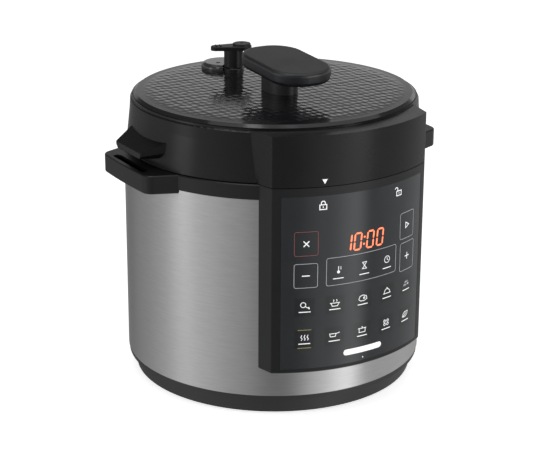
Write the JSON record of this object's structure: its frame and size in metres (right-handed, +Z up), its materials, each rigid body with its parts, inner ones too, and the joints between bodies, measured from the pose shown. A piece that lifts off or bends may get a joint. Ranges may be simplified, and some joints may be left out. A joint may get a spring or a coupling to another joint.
{
  "type": "electric pressure cooker",
  "caption": "Round countertop electric pressure cooker with a bayonet-locked lid, lift-out pot, steam valve, side handles and a curved touch panel.",
  "frame": {"origin": "on the cooker's upright axis, on the surface that the rubber feet stand on", "axes": "+Z up along the axis, -Y towards the control panel at the front, +X towards the right handle"},
  "size_m": [0.316, 0.3215, 0.3036],
  "materials": {
    "base_shell": "satin moulded",
    "bayonet_ring": "pressed sheet",
    "circuit_board": "solder mask",
    "condensate_cup": "clear moulded plastic, stated as glass",
    "cup_bracket": "satin moulded",
    "display_module": "cast segments",
    "front_housing": "semi-gloss moulded",
    "fuse_switch": "moulded",
    "grip": "satin moulded",
    "handle_covers": "satin moulded",
    "heating_plate": "cast, machined top",
    "heating_tube": "sheathed",
    "inlet_pins": "plated",
    "inlet_socket": "satin moulded",
    "inner_pot": "coated inside",
    "lid_cover": "semi-gloss moulded",
    "lid_top_plate": "gloss, embossed ripples",
    "lock_slider": "moulded",
    "metal_lid": "polished",
    "nest_legs": "zinc plated",
    "outer_pot": "drawn sheet",
    "panel_film": "gloss printed film",
    "power_parts": "moulded and wound parts",
    "rim_ring": "satin moulded",
    "rubber_feet": "matt",
    "screws": "zinc plated",
    "sealing_ring": "silicone",
    "sensor_bracket": "pressed sheet",
    "sensor_cap": "pressed",
    "sensor_spring": "spring steel",
    "steel_housing": "brushed, clear coated",
    "touch_springs": "plated spring steel",
    "valve_knob": "satin moulded",
    "valve_pad": "gloss moulded",
    "vent_steel": "turned"
  },
  "bodies": {
    "base": {"base_shell": "base_shell", "rubber_feet": "rubber_feet", "nest_legs": "nest_legs", "base_screws": "screws", "steel_housing": "steel_housing", "rim_ring": "rim_ring", "handle_cover_right": "handle_covers", "handle_cover_left": "handle_covers", "handle_screws": "screws", "front_housing": "front_housing", "panel_film": "panel_film", "control_board": "circuit_board", "control_board_screws": "screws", "display_module": "display_module", "touch_springs": "touch_springs", "outer_pot": "outer_pot", "bayonet_ring": "bayonet_ring", "ring_screws": "screws", "heating_plate": "heating_plate", "heating_tube": "heating_tube", "plate_spacers": "sensor_bracket", "sensor_bracket": "sensor_bracket", "thermal_fuse": "fuse_switch", "pressure_switch": "fuse_switch", "power_board": "circuit_board", "power_parts": "power_parts", "power_board_screws": "screws", "inlet_socket": "inlet_socket", "inlet_pins": "inlet_pins", "inlet_screws": "screws", "cup_bracket": "cup_bracket", "bracket_screws": "screws"},
    "cup": {"condensate_cup": "condensate_cup"},
    "sensor": {"sensor_cap": "sensor_cap", "sensor_spring": "sensor_spring"},
    "pot": {"inner_pot": "inner_pot"},
    "seal": {"sealing_ring": "sealing_ring", "seal_rack": "metal_lid"},
    "lid": {"lid_cover": "lid_cover", "lid_top_plate": "lid_top_plate", "valve_pad": "valve_pad", "valve_collar": "valve_pad", "metal_lid": "metal_lid", "lid_screws": "screws", "handle_cap": "grip", "handle_base": "grip", "grip_screws": "screws", "vent_pipe": "vent_steel", "vent_nut": "vent_steel", "vent_shield": "vent_steel", "lock_bracket": "sensor_bracket"},
    "valve": {"valve_knob": "valve_knob", "valve_weight": "vent_steel"},
    "float": {"float_pin": "vent_steel", "float_seal": "sealing_ring"},
    "slider": {"lock_slider": "lock_slider"}
  },
  "joints": [
    {"name": "pot_lift", "type": "slide", "parent": "base", "child": "pot", "axis": [0, 0, 1], "range_m": [0, 0.18]},
    {"name": "lid_lift", "type": "slide", "parent": "pot", "child": "seal", "axis": [0, 0, 1], "range_m": [0, 0.12]},
    {"name": "lid_turn", "type": "hinge", "parent": "seal", "child": "lid", "pos_m": [0, 0, 0.21], "axis": [0, 0, 1], "range_deg": [0, 30]},
    {"name": "valve_turn", "type": "hinge", "parent": "lid", "child": "valve", "pos_m": [0, 0.076, 0.283], "axis": [0, 0, 1], "range_deg": [0, 60]},
    {"name": "float_rise", "type": "slide", "parent": "lid", "child": "float", "axis": [0, 0, 1], "range_m": [0, 0.005]},
    {"name": "lock_slide", "type": "slide", "parent": "lid", "child": "slider", "axis": [0, -1, 0], "range_m": [0, 0.006]},
    {"name": "sensor_press", "type": "slide", "parent": "base", "child": "sensor", "axis": [0, 0, 1], "range_m": [-0.003, 0], "stiffness_N_per_m": 300, "springref_m": 0.001, "deforming": ["sensor_spring"]},
    {"name": "cup_pull", "type": "slide", "parent": "base", "child": "cup", "axis": [0, 1, 0], "range_m": [0, 0.045]}
  ]
}
